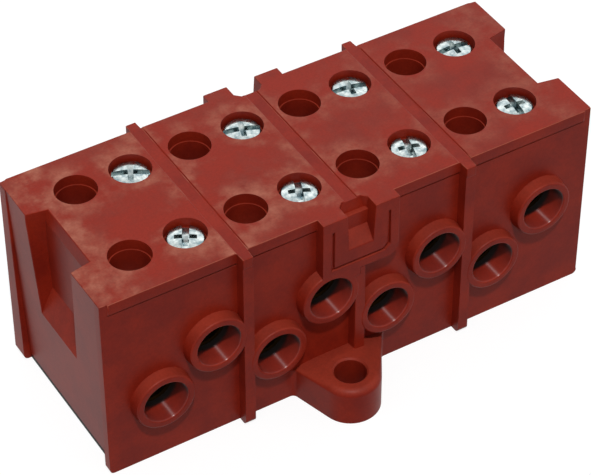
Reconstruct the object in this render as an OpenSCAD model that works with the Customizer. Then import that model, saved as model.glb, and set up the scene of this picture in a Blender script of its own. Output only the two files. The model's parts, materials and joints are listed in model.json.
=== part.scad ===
// Four-pole barrier terminal strip for heavy stranded wires.
//
// One red moulding is the housing. A black base closes it from below and carries
// a stepped brass block in each pole. Each block has a low and a high wire bore
// that run from front to back, and a clamping screw over both ends of each bore.
// A pressure foot turns in the tip of every screw and lands on the wire.
//
// X runs along the strip, -Y is the front and +Z is up. The origin is the middle
// of the footprint, on the surface that the strip is fixed to.

/* [Housing] */
// Distance between the centres of neighbouring poles
pitch = 24.5; // [23.8:0.1:28]
// Housing beyond the outer pole, at each end
end_margin = 5; // [4.6:0.1:9]
// Depth from the front face to the back face
body_depth = 40; // [38:0.5:46]
// Height of the housing
body_height = 43.6; // [42.4:0.2:50]
// Thickness of the front and back walls outside the terminal blocks
side_wall = 3.45; // [2.5:0.05:4.5]
// Thickness of the wall between neighbouring terminal blocks
barrier_wall = 3.3; // [2:0.1:4]
// How much each end face leans in at its foot
end_draft = 1.4; // [0.2:0.1:1.8]
// Radius of the bottom corners of the front and back walls
foot_radius = 1; // [0.4:0.1:2]
// Thickness of the front wall where it frames an end face
front_frame = 2; // [1.2:0.1:3]
// Thickness of the back wall where it frames the top of an end face
back_frame_top = 2.6; // [1.2:0.1:4]
// Thickness of the back wall where it frames the foot of an end face
back_frame_foot = 4; // [1.2:0.1:4.5]

/* [Top] */
// Height of the lip along the top of each long face
lip_height = 2.6; // [1.5:0.1:4]
// How far the lip stands out of the face
lip_out = 0.3; // [0.2:0.1:1.2]
// Height of the groove that sets the lip off from the face
lip_groove_height = 0.35; // [0.2:0.05:0.8]
// Depth of that groove
lip_groove_depth = 0.4; // [0.2:0.1:1]
// Distance from each end of the housing to the end of the lip
lip_inset = 1.7; // [0.8:0.1:4]
// Width of the shallow band that marks each pole boundary
band_width = 2.6; // [1.5:0.1:4]
// Depth of the band
band_depth = 0.25; // [0.1:0.05:0.6]

/* [Barrier ribs] */
// Width of a rib
rib_width = 2.2; // [1.4:0.1:3.2]
// How far the ribs stand out of the long faces
rib_out = 2.5; // [2:0.1:4]
// Step back of a rib's face below the lip
rib_step = 0.15; // [0.05:0.05:0.4]
// Radius at the foot of a rib
rib_foot = 1.2; // [0.4:0.1:1.8]

/* [Wire entries] */
// Height of the low wire entries
low_entry_z = 15.6; // [14.5:0.1:17]
// Height of the high entries above the low ones
entry_step = 8.8; // [8.2:0.1:10]
// Sideways distance between the two entries of a pole
entry_spacing = 11.6; // [10.6:0.1:12]
// Bore of a collar
collar_bore_d = 9.2; // [8.6:0.1:9.4]
// Outer diameter of a collar at its mouth
collar_d = 12.4; // [11.8:0.1:13]
// Outer diameter of a collar at the face
collar_root_d = 12.9; // [12.4:0.1:13.6]
// How far the collars stand out of the long faces
collar_out = 2.45; // [1.5:0.05:4]
// Rounding of both edges of a collar's mouth
collar_edge = 0.4; // [0.1:0.1:0.6]

/* [Screw wells] */
// Distance between the front and back rows of wells
row_spacing = 21.2; // [18:0.2:23]
// Diameter of a well at its mouth
well_mouth_d = 8.4; // [8.2:0.1:9]
// Depth of the wider mouth
well_mouth_depth = 2.3; // [1:0.1:4]
// Diameter of a well below its mouth
well_d = 7.9; // [7.7:0.05:8.1]

/* [Latch boxes] */
// Width of the box in the middle of each long face
latch_width = 16.9; // [15:0.1:18]
// Height of the box below the top
latch_height = 14.2; // [13.5:0.1:16]
// How far the box stands out of the long face
latch_out = 2.45; // [1.5:0.05:4]
// Radius of its one round lower corner
latch_corner = 2.7; // [1:0.1:4]
// Width of the groove that frames the notch
groove_width = 0.55; // [0.4:0.05:1]
// Depth of the groove
groove_depth = 0.5; // [0.2:0.1:1]
// Distance of the groove from the sides and foot of the box
groove_inset = 2.25; // [1.6:0.05:2.6]
// Width of the notch for a cover's hook, at the top
notch_width = 6.2; // [5:0.1:8]
// Width of the notch at its sill
notch_foot_width = 5.2; // [4:0.1:6]
// Depth of the notch behind the long face, at the top
notch_depth = 1.6; // [1.2:0.1:2.2]
// Height of the notch
notch_height = 8.6; // [7:0.1:10]
// Height of the sloping sill at the foot of the notch
notch_sill = 2.7; // [1.5:0.1:3.5]
// Depth of the upright wall below the ledge, behind the long face
notch_wall = 0.1; // [0.05:0.05:0.4]
// Lean of the back wall above the ledge
notch_lean = 0.5; // [0.2:0.1:0.8]
// Bevel in the two back corners of the notch
notch_corner = 1.1; // [0.4:0.1:1.6]
// Sideways reach of the web between the box, the middle rib and the collar beside it
web_reach = 1.9; // [1.5:0.1:2]
// How far that web hangs below the box
web_drop = 1.8; // [1:0.1:1.8]

/* [End recesses] */
// Depth of the recess in each end face
recess_depth = 3.7; // [2:0.1:3.9]
// Width of the recess at the top of its mouth
recess_width = 18.2; // [15:0.2:22]
// Width of its inner wall
recess_inner_width = 16.8; // [13:0.2:18]
// Width at the foot of the recess
recess_foot_width = 14.4; // [10:0.2:16]
// Room between the drafted sides and the mouth's edge at the top
recess_draft_room = 0.15; // [0.05:0.05:0.5]
// Height at which the sloping floor leaves the inner wall
recess_floor_z = 24.7; // [22:0.1:28]
// Height at which the sloping floor meets the end face
recess_foot_z = 19.6; // [15:0.1:21]
// Size of the bevel at the top of the inner wall
recess_bevel = 0.7; // [0.2:0.1:1.2]

/* [Fixing lugs] */
// Thickness of a lug
lug_thickness = 8.4; // [6:0.1:8.8]
// Radius of a lug's round end
lug_radius = 6.1; // [5.4:0.1:7]
// Diameter of the bolt hole
lug_hole_d = 6.4; // [4.4:0.1:7]
// Distance of the bolt hole from the long face
lug_reach = 7.1; // [6.6:0.1:10]
// Distance of the bolt hole from the middle of the strip
lug_offset = 5; // [0:0.1:8]
// Width of a lug where it meets the face
lug_root_width = 20.1; // [18:0.1:24]
// Sideways lean of the root towards the middle of the strip
lug_lean = 1.6; // [0:0.1:3]
// Rounding of the upper edge
lug_edge = 1.5; // [0.5:0.1:2]
// Radius in the corners between lug and face
lug_fillet = 1.2; // [0.4:0.1:2]
// Bevel on the rim of the bolt hole
lug_hole_bevel = 0.35; // [0.1:0.05:0.6]

/* [Terminal blocks] */
// Diameter of a wire bore
wire_bore_d = 7.6; // [6.4:0.1:7.8]
// Brass above a wire bore, which the screws are threaded through
thread_length = 5.4; // [4.4:0.1:5.8]
// Brass below a wire bore
block_floor = 4; // [2.5:0.1:5]
// Gap between a block and the housing around it
block_clearance = 0.05; // [0.02:0.01:0.2]

/* [Clamping screws] */
// Outer diameter of the thread
thread_d = 5.9; // [5:0.1:6.1]
// Gap round the thread in its hole
thread_clearance = 0.05; // [0.02:0.01:0.1]
// Diameter of a screw's head
head_d = 7.5; // [6.8:0.1:7.6]
// Height of a screw's head
head_height = 3.2; // [2:0.1:3.6]
// Bevel round the top of the head
head_bevel = 0.4; // [0.1:0.1:0.8]
// How far a screw can be driven down from where it stands
screw_travel = 4.5; // [2:0.1:4.8]
// Gap left under the head of a screw that is driven right down
head_gap = 0.1; // [0.05:0.05:0.5]

/* [Pressure feet] */
// Diameter of a foot's disc
foot_d = 5.2; // [4:0.1:5.3]
// Thickness of the disc
foot_thickness = 1.2; // [0.8:0.1:1.6]
// Diameter of the stem that turns in the screw
stem_d = 2.4; // [1.6:0.1:3]
// Length of the stem
stem_length = 2.4; // [1.5:0.1:3]
// Gap round the stem and over the disc
stem_clearance = 0.05; // [0.02:0.01:0.1]
// Height of the disc above the crown of the wire bore
foot_lift = 0.1; // [0:0.05:0.4]

/* [Base] */
// Thickness of the base plate
base_plate = 1; // [0.8:0.1:1.6]
// Height of the base plate above the fixing surface
base_lift = 0.3; // [0.1:0.1:0.8]
// Gap round the base plate
base_clearance = 0.1; // [0.05:0.05:0.3]

/* [Hidden] */
$fn = 64;
POLES = [1, 2, 3, 4];
ROWS = ["front", "back"];
LEVELS = ["low", "high"];

function block_name(pole) = str("terminal_block_", pole);
function screw_name(pole, row, level) = str("screw_", pole, "_", row, "_", level);
function foot_name(pole, row, level) = str("foot_", pole, "_", row, "_", level);

// Overshoot of a cut beyond the face that it opens
cut = 1;

pole_count = len(POLES);
body_length = pole_count * pitch + 2 * end_margin;
half_length = body_length / 2;
face_y = body_depth / 2;
lip_z = body_height - lip_height;

cavity_width = pitch - barrier_wall;
cavity_depth = body_depth - 2 * side_wall;
block_width = cavity_width - 2 * block_clearance;
block_depth = cavity_depth - 2 * block_clearance;
base_top = base_lift + base_plate;

wire_bore_r = wire_bore_d / 2;
collar_bore_r = collar_bore_d / 2;
thread_r = thread_d / 2;
thread_hole_r = thread_r + thread_clearance;
stem_r = stem_d / 2;

// Where pole, row and level put things
function pole_x(pole) = (pole - (pole_count + 1) / 2) * pitch;
function boundary_x(gap) = (gap - pole_count / 2) * pitch;
function level_side(level) = level == "low" ? -1 : 1;
function entry_x(pole, level) = pole_x(pole) + level_side(level) * entry_spacing / 2;
function entry_z(level) = low_entry_z + (level == "low" ? 0 : entry_step);
function row_y(row) = (row == "front" ? -1 : 1) * row_spacing / 2;
function crown_z(level) = entry_z(level) + wire_bore_r;
function block_top(level) = crown_z(level) + thread_length;
function block_bottom(level) = entry_z(level) - wire_bore_r - block_floor;
function head_seat_z(level) = block_top(level) + head_gap + screw_travel;

// Extrudes an outline drawn in X and Z along Y, centred on the strip
module along_y(depth) {
    rotate([90, 0, 0]) linear_extrude(height = depth, center = true) children();
}

// Extrudes an outline drawn in Y and Z along X, centred on the strip
module along_x(width) {
    rotate([90, 0, 90]) linear_extrude(height = width, center = true) children();
}

// Repeats what is drawn on the front face on the back face
module on_both_faces() {
    children();
    mirror([0, 1, 0]) children();
}

// Repeats what is drawn on the right end on the left end
module on_both_ends() {
    children();
    mirror([1, 0, 0]) children();
}

// Visits every wire entry of the front face with its height
module at_front_entries() {
    for (pole = POLES, level = LEVELS)
        translate([entry_x(pole, level), -face_y, entry_z(level)]) rotate([90, 0, 0]) children();
}

// ---------------------------------------------------------------- housing

// Outline of the moulding from the front, with round bottom corners
module body_outline() {
    translate([-half_length, foot_radius]) square([body_length, body_height - foot_radius]);
    translate([foot_radius - half_length, 0]) square([body_length - 2 * foot_radius, body_height]);
    for (side = [-1, 1])
        translate([side * (half_length - foot_radius), foot_radius]) circle(r = foot_radius);
}

// Wedge that leans the right end face in between the front and back walls
module end_draft_cut() {
    intersection() {
        along_y(body_depth) polygon([
            [half_length - end_draft, -cut],
            [half_length - end_draft, 0],
            [half_length, body_height],
            [half_length + cut, body_height],
            [half_length + cut, -cut]
        ]);
        along_x(body_length + 2 * cut) polygon([
            [front_frame - face_y, -cut],
            [front_frame - face_y, body_height],
            [face_y - back_frame_top, body_height],
            [face_y - back_frame_foot, 0],
            [face_y - back_frame_foot, -cut]
        ]);
    }
}

// Recess of the right end: a bevelled inner wall, drafted sides and a sloping floor
module end_recess() {
    inner_x = half_length - recess_depth;
    open_x = half_length + cut;
    top_z = body_height + cut;
    foot_x = half_length - end_draft * (1 - recess_foot_z / body_height);
    // Reach of the plan's sides beyond the mouth, along their own slope
    flare = (recess_width - recess_inner_width) / 2 / recess_depth;
    // The drafted sides end a little outside the mouth, so that the plan alone sets its width
    draft_top_y = recess_width / 2 + recess_draft_room;
    intersection() {
        along_y(body_depth) polygon([
            [inner_x, recess_floor_z],
            [inner_x, lip_z],
            [inner_x - recess_bevel, body_height],
            [inner_x - recess_bevel, top_z],
            [open_x, top_z],
            [open_x, recess_foot_z],
            [foot_x, recess_foot_z]
        ]);
        along_x(body_length + 4 * cut) polygon([
            [-recess_foot_width / 2, recess_foot_z],
            [-draft_top_y, body_height],
            [-draft_top_y, top_z],
            [draft_top_y, top_z],
            [draft_top_y, body_height],
            [recess_foot_width / 2, recess_foot_z]
        ]);
        linear_extrude(height = top_z) polygon([
            [inner_x - cut, -recess_inner_width / 2 + cut * flare],
            [open_x, -recess_width / 2 - cut * flare],
            [open_x, recess_width / 2 + cut * flare],
            [inner_x - cut, recess_inner_width / 2 - cut * flare]
        ]);
    }
}

// Lip along the top of the front face, running out at both ends
module lip() {
    reach = half_length - lip_inset;
    translate([0, 0, lip_z]) linear_extrude(height = lip_height) polygon([
        [-reach - lip_out, cut - face_y],
        [-reach - lip_out, -face_y],
        [-reach, -face_y - lip_out],
        [reach, -face_y - lip_out],
        [reach + lip_out, -face_y],
        [reach + lip_out, cut - face_y]
    ]);
}

// Groove along the front face, right under the lip
module lip_groove() {
    length = body_length - 2 * lip_inset;
    translate([-length / 2, -face_y - cut, lip_z - lip_groove_height])
        cube([length, lip_groove_depth + cut, lip_groove_height]);
}

// Side view of a front rib: a step under the lip and a round foot
module rib_outline() {
    lower_y = rib_step - rib_out - face_y;
    translate([-rib_out - face_y, lip_z]) square([rib_out + cut, lip_height]);
    translate([lower_y, rib_foot]) square([rib_out - rib_step + cut, lip_z - rib_foot]);
    translate([lower_y + rib_foot, 0]) square([rib_out - rib_step - rib_foot + cut, lip_z]);
    translate([lower_y + rib_foot, rib_foot]) circle(r = rib_foot);
}

module ribs() {
    for (gap = [1 : pole_count - 1])
        translate([boundary_x(gap), 0, 0]) along_x(rib_width) rib_outline();
}

// Section of a collar's wall: radius across, distance from the face up
module collar_section() {
    mouth_r = collar_d / 2;
    polygon([
        [collar_bore_r, -cut],
        [collar_root_d / 2, -cut],
        [collar_root_d / 2, 0],
        [mouth_r, collar_out - collar_edge],
        [mouth_r - collar_edge, collar_out],
        [collar_bore_r + collar_edge, collar_out],
        [collar_bore_r, collar_out - collar_edge]
    ]);
    for (r = [mouth_r - collar_edge, collar_bore_r + collar_edge])
        translate([r, collar_out - collar_edge]) circle(r = collar_edge);
}

module collars() {
    at_front_entries() rotate_extrude() collar_section();
}

// Holes of the front wall, from each collar's mouth to the terminal block
module wire_passages() {
    at_front_entries() translate([0, 0, -side_wall - cut / 2])
        cylinder(r = collar_bore_r, h = side_wall + collar_out + cut);
}

// Front view of a latch box, round at one lower corner, with the web below it
module latch_outline() {
    bottom = body_height - latch_height;
    half = latch_width / 2;
    translate([-half, bottom]) square([latch_width - latch_corner, latch_height]);
    translate([-half, bottom + latch_corner]) square([latch_width, latch_height - latch_corner]);
    translate([half - latch_corner, bottom + latch_corner]) circle(r = latch_corner);
    translate([-rib_width / 2 - web_reach, bottom - web_drop])
        square([web_reach + rib_width / 2, web_drop + cut]);
}

module latch_box() {
    translate([0, -face_y - latch_out / 2 + cut / 2, 0]) along_y(latch_out + cut) latch_outline();
}

// Outline of the framed field of a latch box, grown by a margin
module groove_field(margin) {
    half = latch_width / 2 - groove_inset - margin;
    bottom = body_height - latch_height + groove_inset + margin;
    polygon([
        [-half, lip_z],
        [-half, bottom],
        [half - groove_inset / 2, bottom],
        [half, bottom + groove_inset / 2],
        [half, lip_z]
    ]);
}

module latch_groove() {
    translate([0, -face_y - latch_out, 0]) along_y(2 * groove_depth) difference() {
        groove_field(-groove_width / 2);
        groove_field(groove_width / 2);
    }
}

// Notch in the top of a latch box: a sloping sill, an upright wall up to a ledge for the
// cover's hook, and a leaning back wall above the ledge
module latch_notch() {
    half = notch_width / 2;
    half_foot = notch_foot_width / 2;
    outer_y = -face_y - latch_out;
    wall_y = notch_wall - face_y;
    back_y = notch_depth - face_y;
    bottom = body_height - notch_height;
    // Sideways growth of the notch over the overshoot of the cut
    spread = (half - half_foot) / notch_height * cut;
    intersection() {
        along_y(body_depth + 2 * latch_out + 2 * cut) polygon([
            [-half_foot, bottom],
            [-half - spread, body_height + cut],
            [half + spread, body_height + cut],
            [half_foot, bottom]
        ]);
        along_x(notch_width + 4 * cut) polygon([
            [back_y + notch_lean * cut / lip_height, body_height + cut],
            [back_y - notch_lean, lip_z],
            [wall_y, lip_z],
            [wall_y, bottom + notch_sill],
            [outer_y, bottom],
            [outer_y - cut, bottom],
            [outer_y - cut, body_height + cut]
        ]);
        linear_extrude(height = body_height + cut) polygon([
            [-half - cut, outer_y - cut],
            [-half - cut, back_y - notch_corner - cut],
            [notch_corner - half + cut, back_y + cut],
            [half - notch_corner - cut, back_y + cut],
            [half + cut, back_y - notch_corner - cut],
            [half + cut, outer_y - cut]
        ]);
    }
}

// Shallow bands across the top, one over each barrier wall
module bands() {
    for (gap = [1 : pole_count - 1])
        translate([boundary_x(gap), 0, body_height])
            cube([band_width, body_depth + 2 * rib_out + 2 * cut, 2 * band_depth], center = true);
}

module wells() {
    for (pole = POLES, level = LEVELS, row = ROWS)
        translate([entry_x(pole, level), row_y(row), 0]) {
            translate([0, 0, block_top(level)])
                cylinder(d = well_d, h = body_height - block_top(level) + cut);
            translate([0, 0, body_height - well_mouth_depth])
                cylinder(d = well_mouth_d, h = well_mouth_depth + cut);
        }
}

// Front view of a stepped block, or of its cavity, for one pole
module stepped_outline(width, low_floor, high_floor, gap) {
    translate([-width / 2, low_floor]) square([width / 2 + gap, block_top("low") + gap - low_floor]);
    translate([-gap, high_floor]) square([width / 2 + gap, block_top("high") + gap - high_floor]);
}

module cavities() {
    for (pole = POLES)
        translate([pole_x(pole), 0, 0]) along_y(cavity_depth)
            stepped_outline(cavity_width, -cut, -cut, block_clearance);
}

// Seat of the base plate, open at both ends between the front and back walls
module base_seat() {
    translate([-half_length - cut, front_frame - face_y, -cut])
        cube([body_length + 2 * cut, body_depth - front_frame - back_frame_foot, base_top + cut]);
}

// ------------------------------------------------------------------- lugs

lug_centre = [-lug_offset, -face_y - lug_reach];
lug_left_root = [lug_lean - lug_offset - lug_root_width / 2, -face_y];
lug_right_root = [lug_lean - lug_offset + lug_root_width / 2, -face_y];

// Radius of the posts that end a lug inside the wall: a hair over the edge's rounding, so
// that the rounding keeps a top face to turn on
lug_post = lug_edge + 0.01;

// Direction in which a lug's side runs from its root to touch the round end
function side_angle(root, turn) =
    let (to_centre = lug_centre - root)
    atan2(to_centre.y, to_centre.x) + turn * asin(lug_radius / norm(to_centre));
function unit(angle) = [cos(angle), sin(angle)];
// Centre of the round post that carries a side back into the housing's wall
function post_centre(root, turn) =
    let (angle = side_angle(root, turn))
    root - lug_edge * (unit(angle + turn * 90) + unit(angle));

// Upright disc whose upper edge is rounded
module rounded_disc(radius) {
    cylinder(r = radius, h = lug_thickness - lug_edge);
    translate([0, 0, lug_thickness - lug_edge]) rotate_extrude()
        translate([radius - lug_edge, 0]) circle(r = lug_edge, $fn = 24);
}

// Corner fillet between the face and one side of a lug
module lug_root_fillet(root, turn) {
    side = unit(side_angle(root, turn));
    wall = [turn, 0];
    opening = acos(side * wall);
    reach = lug_fillet / tan(opening / 2);
    bisector = (side + wall) / norm(side + wall);
    centre = root + bisector * lug_fillet / sin(opening / 2);
    linear_extrude(height = lug_thickness - lug_edge) difference() {
        polygon([
            root - [turn * cut, 0],
            root + [-turn * cut, cut],
            root + reach * wall + [0, cut],
            root + reach * wall,
            centre,
            root + reach * side
        ]);
        translate(centre) circle(r = lug_fillet);
    }
}

// Round end drawn out to two posts inside the wall
module lug() {
    hull() {
        translate(lug_centre) rounded_disc(lug_radius, $fn = 48);
        translate(post_centre(lug_left_root, -1)) rounded_disc(lug_post, $fn = 24);
        translate(post_centre(lug_right_root, 1)) rounded_disc(lug_post, $fn = 24);
    }
    lug_root_fillet(lug_left_root, -1);
    lug_root_fillet(lug_right_root, 1);
}

module lug_hole() {
    translate([lug_centre.x, lug_centre.y, 0]) {
        translate([0, 0, -cut]) cylinder(d = lug_hole_d, h = lug_thickness + 2 * cut);
        translate([0, 0, lug_thickness - lug_hole_bevel])
            cylinder(d1 = lug_hole_d, d2 = lug_hole_d + 4 * lug_hole_bevel, h = 2 * lug_hole_bevel);
    }
}

// The second lug is the first one turned half a turn about the strip's middle
module lugs() {
    for (turn = [0, 180]) rotate([0, 0, turn]) lug();
}

module lug_holes() {
    for (turn = [0, 180]) rotate([0, 0, turn]) lug_hole();
}

module housing() {
    color("#8f3b30") difference() {
        union() {
            difference() {
                along_y(body_depth) body_outline();
                on_both_faces() lip_groove();
            }
            on_both_faces() {
                lip();
                ribs();
                collars();
                latch_box();
            }
            lugs();
        }
        on_both_ends() {
            end_draft_cut();
            end_recess();
        }
        on_both_faces() {
            wire_passages();
            latch_groove();
            latch_notch();
        }
        bands();
        wells();
        cavities();
        base_seat();
        lug_holes();
    }
}

// ------------------------------------------------- base and terminal blocks

// Plate that closes the housing, with a stepped pedestal under each block
module base() {
    plate_length = body_length - 2 * end_draft - 2 * base_clearance;
    plate_depth = body_depth - front_frame - back_frame_foot - 2 * base_clearance;
    // Pedestals stop short of the stepped side of the block that they carry
    side_gap = 0.3;
    color("#1d1c1c") {
        translate([-plate_length / 2, front_frame - face_y + base_clearance, base_lift])
            cube([plate_length, plate_depth, base_plate]);
        for (pole = POLES) translate([pole_x(pole), 0, 0]) along_y(block_depth) {
            translate([-block_width / 2, base_top - base_plate / 2])
                square([block_width / 2, block_bottom("low") - base_top + base_plate / 2]);
            translate([side_gap, base_top - base_plate / 2])
                square([block_width / 2 - side_gap, block_bottom("high") - base_top + base_plate / 2]);
        }
    }
}

// Stepped brass block with two wire bores and a threaded hole over each bore's ends
module terminal_block(pole) {
    color("#c8a24c") difference() {
        translate([pole_x(pole), 0, 0]) along_y(block_depth)
            stepped_outline(block_width, block_bottom("low"), block_bottom("high"), 0);
        for (level = LEVELS) {
            translate([entry_x(pole, level), 0, entry_z(level)]) rotate([90, 0, 0])
                cylinder(r = wire_bore_r, h = block_depth + 2 * cut, center = true);
            for (row = ROWS) translate([entry_x(pole, level), row_y(row), entry_z(level)])
                cylinder(r = thread_hole_r, h = wire_bore_r + thread_length + cut);
        }
    }
}

// ------------------------------------------------------- screws and feet

// Bottom of a foot's disc, just above the wire bore
function foot_z(level) = crown_z(level) + foot_lift;
function screw_tip_z(level) = foot_z(level) + foot_thickness + stem_clearance;

// Cheese-head screw with a blind bore in its tip for the foot's stem
module clamping_screw(pole, row, level) {
    tip = screw_tip_z(level);
    seat = head_seat_z(level);
    top = seat + head_height;
    bore_r = stem_r + stem_clearance;
    bore_top = tip + stem_length + stem_clearance;
    tip_bevel = 0.4;
    color("#c6cbd3") translate([entry_x(pole, level), row_y(row), 0]) rotate_extrude() polygon([
        [bore_r, tip],
        [thread_r - tip_bevel, tip],
        [thread_r, tip + tip_bevel],
        [thread_r, seat],
        [head_d / 2, seat],
        [head_d / 2, top - head_bevel],
        [head_d / 2 - head_bevel, top],
        [0, top],
        [0, bore_top],
        [bore_r, bore_top]
    ]);
}

// Disc that lands on the wire, with the stem that turns in the screw
module pressure_foot(pole, row, level) {
    bottom = foot_z(level);
    disc_top = bottom + foot_thickness;
    edge = 0.2;
    color("#9ea3aa") translate([entry_x(pole, level), row_y(row), 0]) rotate_extrude() polygon([
        [0, bottom],
        [foot_d / 2 - edge, bottom],
        [foot_d / 2, bottom + edge],
        [foot_d / 2, disc_top],
        [stem_r, disc_top],
        [stem_r, disc_top + stem_length],
        [0, disc_top + stem_length]
    ]);
}

housing();
base();
for (pole = POLES) {
    terminal_block(pole);
    for (row = ROWS, level = LEVELS) {
        clamping_screw(pole, row, level);
        pressure_foot(pole, row, level);
    }
}
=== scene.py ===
"""Looks of a four-pole barrier terminal strip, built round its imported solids.

The red housing gets softened edges and a moulded finish, and each clamping screw gets a
rolled thread and a head with a driver recess. The base, the brass blocks and the pressure
feet keep their solids and take their finishes here.

Lengths in the classes are millimetres, and to_m() turns them to Blender's metres.
"""

from __future__ import annotations

import json
import logging
import math
from dataclasses import dataclass, field
from enum import Enum

import bmesh
import bpy
from mathutils import Matrix, Vector

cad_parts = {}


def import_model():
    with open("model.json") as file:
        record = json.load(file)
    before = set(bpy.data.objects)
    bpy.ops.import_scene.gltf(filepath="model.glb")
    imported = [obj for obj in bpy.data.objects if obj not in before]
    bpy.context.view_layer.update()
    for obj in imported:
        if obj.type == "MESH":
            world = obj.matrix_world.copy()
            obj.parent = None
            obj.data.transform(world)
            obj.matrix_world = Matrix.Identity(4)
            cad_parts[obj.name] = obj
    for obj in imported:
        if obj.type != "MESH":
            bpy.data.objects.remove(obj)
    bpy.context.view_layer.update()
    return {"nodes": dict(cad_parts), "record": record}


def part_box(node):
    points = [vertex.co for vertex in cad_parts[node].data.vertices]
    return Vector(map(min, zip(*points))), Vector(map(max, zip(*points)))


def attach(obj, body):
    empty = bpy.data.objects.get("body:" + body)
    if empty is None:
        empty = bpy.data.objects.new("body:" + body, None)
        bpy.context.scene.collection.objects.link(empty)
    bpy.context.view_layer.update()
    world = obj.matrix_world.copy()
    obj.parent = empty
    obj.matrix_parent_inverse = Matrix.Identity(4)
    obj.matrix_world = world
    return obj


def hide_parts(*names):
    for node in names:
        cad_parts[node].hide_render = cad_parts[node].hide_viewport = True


log = logging.getLogger("terminal_strip")

# Blender's wave texture turns through this many radians in one unit at a scale of 1.
WAVE_RATE = 20
Node = bpy.types.Node
Socket = bpy.types.NodeSocket
Point = tuple[float, float, float]
Span = tuple[float, float]
Step = tuple[str | float, ...]


# ---------------------------------------------------------------- small helpers


def to_m(millimetres: float) -> float:
    """Turns millimetres to metres."""
    return millimetres / 1000


def linear(code: str) -> tuple[float, float, float, float]:
    """Turns an sRGB hex colour to the linear RGBA that a shader socket takes.

    Args:
        code: The colour, such as "#9a4435".

    Returns:
        Its red, green, blue and alpha, where alpha is 1.
    """

    def channel(start: int) -> float:
        """Linear value of the two hex digits that begin at start."""
        value = int(code[start : start + 2], 16) / 255
        return value / 12.92 if value <= 0.04045 else ((value + 0.055) / 1.055) ** 2.4

    return channel(1), channel(3), channel(5), 1.0


def add_node(tree: bpy.types.NodeTree, kind: str, **given: object) -> Node:
    """Adds a node with its settings and links.

    Args:
        tree: The node tree it goes into.
        kind: The node's type, such as "ShaderNodeMath".
        given: What to set. A name that is a property of the node sets that property. Any
            other name is an input: its own name with underscores for spaces, or "in_"
            and its number. An input takes a value, or the socket that it is linked to.

    Returns:
        The new node.
    """
    node = tree.nodes.new(kind)
    for name, value in given.items():
        if name in node.bl_rna.properties:
            setattr(node, name, value)
            continue
        key = int(name[3:]) if name.startswith("in_") else name.replace("_", " ")
        if isinstance(value, Socket):
            tree.links.new(value, node.inputs[key])
        else:
            node.inputs[key].default_value = value
    return node


def worked_out(
    tree: bpy.types.NodeTree, known: dict[str, Socket], steps: list[Step]
) -> dict[str, Socket]:
    """Adds a formula to a node tree, one named step at a time.

    Args:
        tree: The node tree it goes into.
        known: The sockets that the formula starts from, by name.
        steps: For each step its name, its operation and what it works on: numbers, or names
            of what is known or was made before. The operation SMOOTHSTEP rises from 0 to 1
            while its first goes from its second to its third, and the rest are those of
            Blender's Math node.

    Returns:
        What is known and what was made, by name.
    """
    made = dict(known)
    for name, operation, *operands in steps:
        given = [made.get(operand, operand) for operand in operands]
        if operation == "SMOOTHSTEP":
            kind, mode = "ShaderNodeMapRange", "interpolation_type"
        else:
            kind, mode = "ShaderNodeMath", "operation"
        inputs = {f"in_{index}": value for index, value in enumerate(given)}
        made[name] = add_node(tree, kind, **{mode: operation}, **inputs).outputs[0]
    return made


def mesh_object(name: str, mesh: bpy.types.Mesh) -> bpy.types.Object:
    """Puts a mesh into the scene as an object of that name."""
    thing = bpy.data.objects.new(name, mesh)
    bpy.context.scene.collection.objects.link(thing)
    return thing


def mesh_from(name: str, shape: bmesh.types.BMesh) -> bpy.types.Mesh:
    """Turns a bmesh to a mesh of that name and frees the bmesh."""
    mesh = bpy.data.meshes.new(name)
    shape.to_mesh(mesh)
    shape.free()
    return mesh


def smooth_shaded(mesh: bpy.types.Mesh, crease_deg: float) -> None:
    """Shades a mesh smooth, with a crease where its faces meet at more than that angle."""
    mesh.polygons.foreach_set("use_smooth", [True] * len(mesh.polygons))
    mesh.set_sharp_from_angle(angle=math.radians(crease_deg))


def applied(thing: bpy.types.Object) -> bpy.types.Mesh:
    """Mesh of an object with its modifiers applied."""
    graph = bpy.context.evaluated_depsgraph_get()
    return bpy.data.meshes.new_from_object(thing.evaluated_get(graph))


class Named(Enum):
    """Options that node names spell out."""

    @property
    def label(self) -> str:
        """Word that node names use."""
        return self.name.lower()


class Level(Named):
    """The two steps of a terminal block, with the side of the pole that each is on."""

    LOW = -1
    HIGH = 1


class Row(Named):
    """The two rows of screws, with the side of the strip that each is on."""

    FRONT = -1
    BACK = 1


# ---------------------------------------------------------------- finishes


@dataclass(frozen=True)
class StripLayout:
    """Places that the finishes share, in millimetres."""

    poles: int = 4
    pitch: float = 24.5
    entry_spacing: float = 11.6
    row_spacing: float = 21.2
    low_entry_z: float = 15.6
    entry_step: float = 8.8
    entry_bore_radius: float = 4.6
    well_radius: float = 4.2
    band_width: float = 2.4
    face_y: float = 20.0
    top: float = 43.6

    def entries(self) -> list[tuple[float, float]]:
        """Sideways place and height of every wire entry."""
        return [
            (
                (pole - (self.poles - 1) / 2) * self.pitch
                + level.value * self.entry_spacing / 2,
                self.low_entry_z + (level is Level.HIGH) * self.entry_step,
            )
            for pole in range(self.poles)
            for level in Level
        ]


LAYOUT = StripLayout()


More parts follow.
